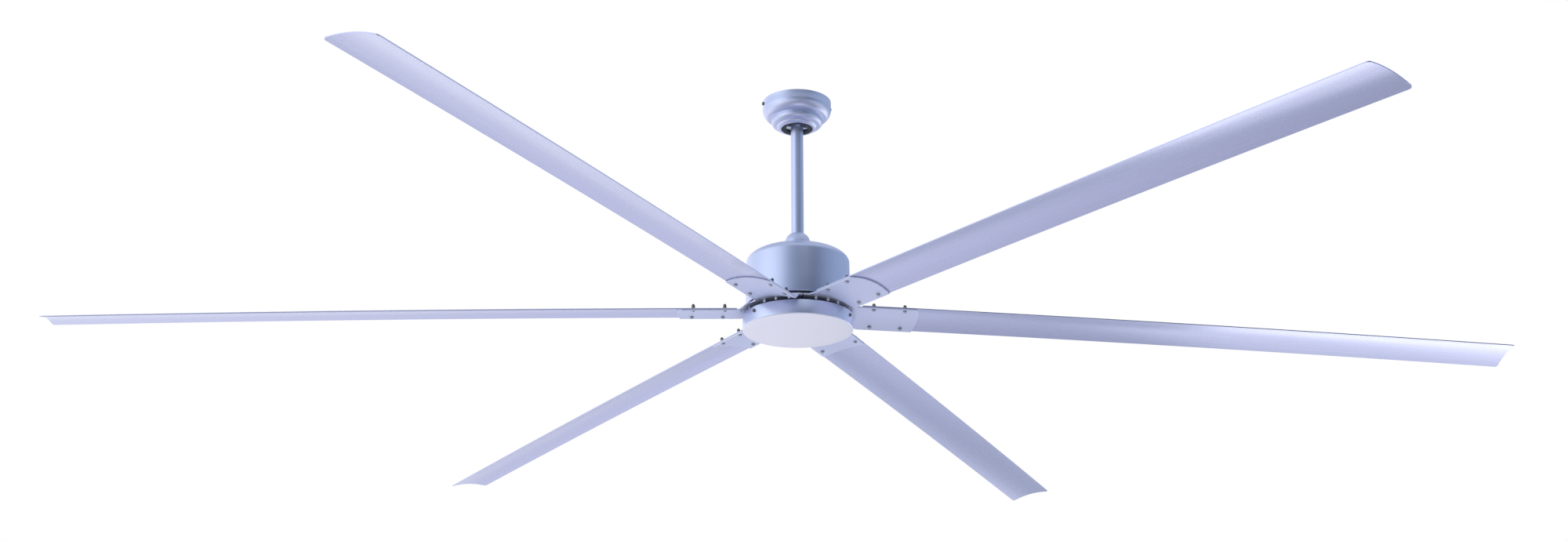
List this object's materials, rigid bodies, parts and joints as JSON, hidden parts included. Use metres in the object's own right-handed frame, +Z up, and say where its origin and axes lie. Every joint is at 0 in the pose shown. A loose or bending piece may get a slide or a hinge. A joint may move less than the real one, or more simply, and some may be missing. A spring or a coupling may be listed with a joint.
{
  "type": "ceiling fan",
  "caption": "Six-blade ceiling fan with long pitched silver blades, a bell-shaped motor housing and a short downrod from a stepped round canopy",
  "frame": {"origin": "centre of the ceiling bracket's top face, which lies against the ceiling", "axes": "+Z up into the ceiling along the downrod, +X along blade 1; the other blades follow anticlockwise seen from above"},
  "size_m": [3.0504, 2.69, 0.5479],
  "materials": {
    "body_paint": "satin metallic silver paint",
    "iron_paint": "satin metallic silver paint",
    "blade_paint": "satin metallic silver paint",
    "black_rubber": "matt",
    "zinc_steel": "zinc plated",
    "nickel_screw": "bright plated",
    "lamination_steel": "stacked silicon steel sheet",
    "copper_wire": null,
    "cast_aluminium": "as cast"
  },
  "bodies": {
    "ceiling": {"hanger_bracket": "zinc_steel", "canopy": "body_paint", "mouth_ring": "black_rubber", "canopy_screw_1": "nickel_screw", "canopy_screw_2": "nickel_screw"},
    "drop": {"hanger_ball": "black_rubber", "ball_pin": "zinc_steel", "downrod": "body_paint", "clevis_pin": "zinc_steel", "coupling_cover": "body_paint", "motor_yoke": "cast_aluminium", "motor_shaft": "zinc_steel", "motor_housing": "body_paint", "stator_core": "lamination_steel", "stator_winding": "copper_wire"},
    "rotor": {"upper_bearing": "zinc_steel", "lower_bearing": "zinc_steel", "magnet_case": "cast_aluminium", "rotor_hub": "iron_paint", "cap_carrier": "zinc_steel", "bottom_cap": "body_paint", "cap_screw_1": "nickel_screw", "cap_screw_2": "nickel_screw", "cap_screw_3": "nickel_screw", "blade_iron_1": "iron_paint", "blade_iron_2": "iron_paint", "blade_iron_3": "iron_paint", "blade_iron_4": "iron_paint", "blade_iron_5": "iron_paint", "blade_iron_6": "iron_paint", "blade_1": "blade_paint", "blade_2": "blade_paint", "blade_3": "blade_paint", "blade_4": "blade_paint", "blade_5": "blade_paint", "blade_6": "blade_paint", "blade_bolt_1_1": "nickel_screw", "blade_bolt_1_2": "nickel_screw", "blade_bolt_1_3": "nickel_screw", "blade_bolt_1_4": "nickel_screw", "blade_bolt_2_1": "nickel_screw", "blade_bolt_2_2": "nickel_screw", "blade_bolt_2_3": "nickel_screw", "blade_bolt_2_4": "nickel_screw", "blade_bolt_3_1": "nickel_screw", "blade_bolt_3_2": "nickel_screw", "blade_bolt_3_3": "nickel_screw", "blade_bolt_3_4": "nickel_screw", "blade_bolt_4_1": "nickel_screw", "blade_bolt_4_2": "nickel_screw", "blade_bolt_4_3": "nickel_screw", "blade_bolt_4_4": "nickel_screw", "blade_bolt_5_1": "nickel_screw", "blade_bolt_5_2": "nickel_screw", "blade_bolt_5_3": "nickel_screw", "blade_bolt_5_4": "nickel_screw", "blade_bolt_6_1": "nickel_screw", "blade_bolt_6_2": "nickel_screw", "blade_bolt_6_3": "nickel_screw", "blade_bolt_6_4": "nickel_screw"}
  },
  "joints": [
    {"name": "ball_swing", "type": "hinge", "parent": "ceiling", "child": "drop", "pos_m": [0, 0, -0.028], "axis": [0.991, 0.134, 0], "range_deg": [-12, 12]},
    {"name": "fan_spin", "type": "hinge", "parent": "drop", "child": "rotor", "pos_m": [0, 0, -0.4885], "axis": [0, 0, 1], "continuous": true}
  ]
}
